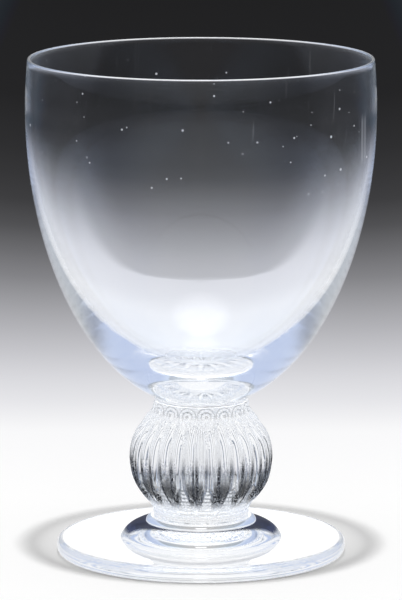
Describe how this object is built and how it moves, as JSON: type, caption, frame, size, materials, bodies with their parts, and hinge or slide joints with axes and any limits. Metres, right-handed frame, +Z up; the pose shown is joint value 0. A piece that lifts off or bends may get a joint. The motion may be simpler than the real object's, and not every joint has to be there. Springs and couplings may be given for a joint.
{
  "type": "liqueur glass",
  "caption": "Small clear stemmed glass: a deep egg-shaped bowl on a gadrooned ball knop between plain collars, on a flat round foot.",
  "frame": {"origin": "centre of the foot's underside, on the surface that the glass stands on", "axes": "+Z up along the axis of the glass, -Y towards the front, +X to the right"},
  "size_m": [0.0558, 0.0558, 0.08],
  "materials": {
    "blown_glass": "clear, fire polished, faintly blue where it is thick",
    "stem_glass": "clear, fire polished",
    "moulded_glass": "clear, pressed in a mould, with a fine matt grain in its grooves",
    "foot_glass": "clear, polished, faintly blue at its edge"
  },
  "bodies": {
    "root": {"bowl": "blown_glass", "upper_collar": "stem_glass", "knop": "moulded_glass", "lower_collar": "stem_glass", "foot": "foot_glass"}
  },
  "joints": []
}
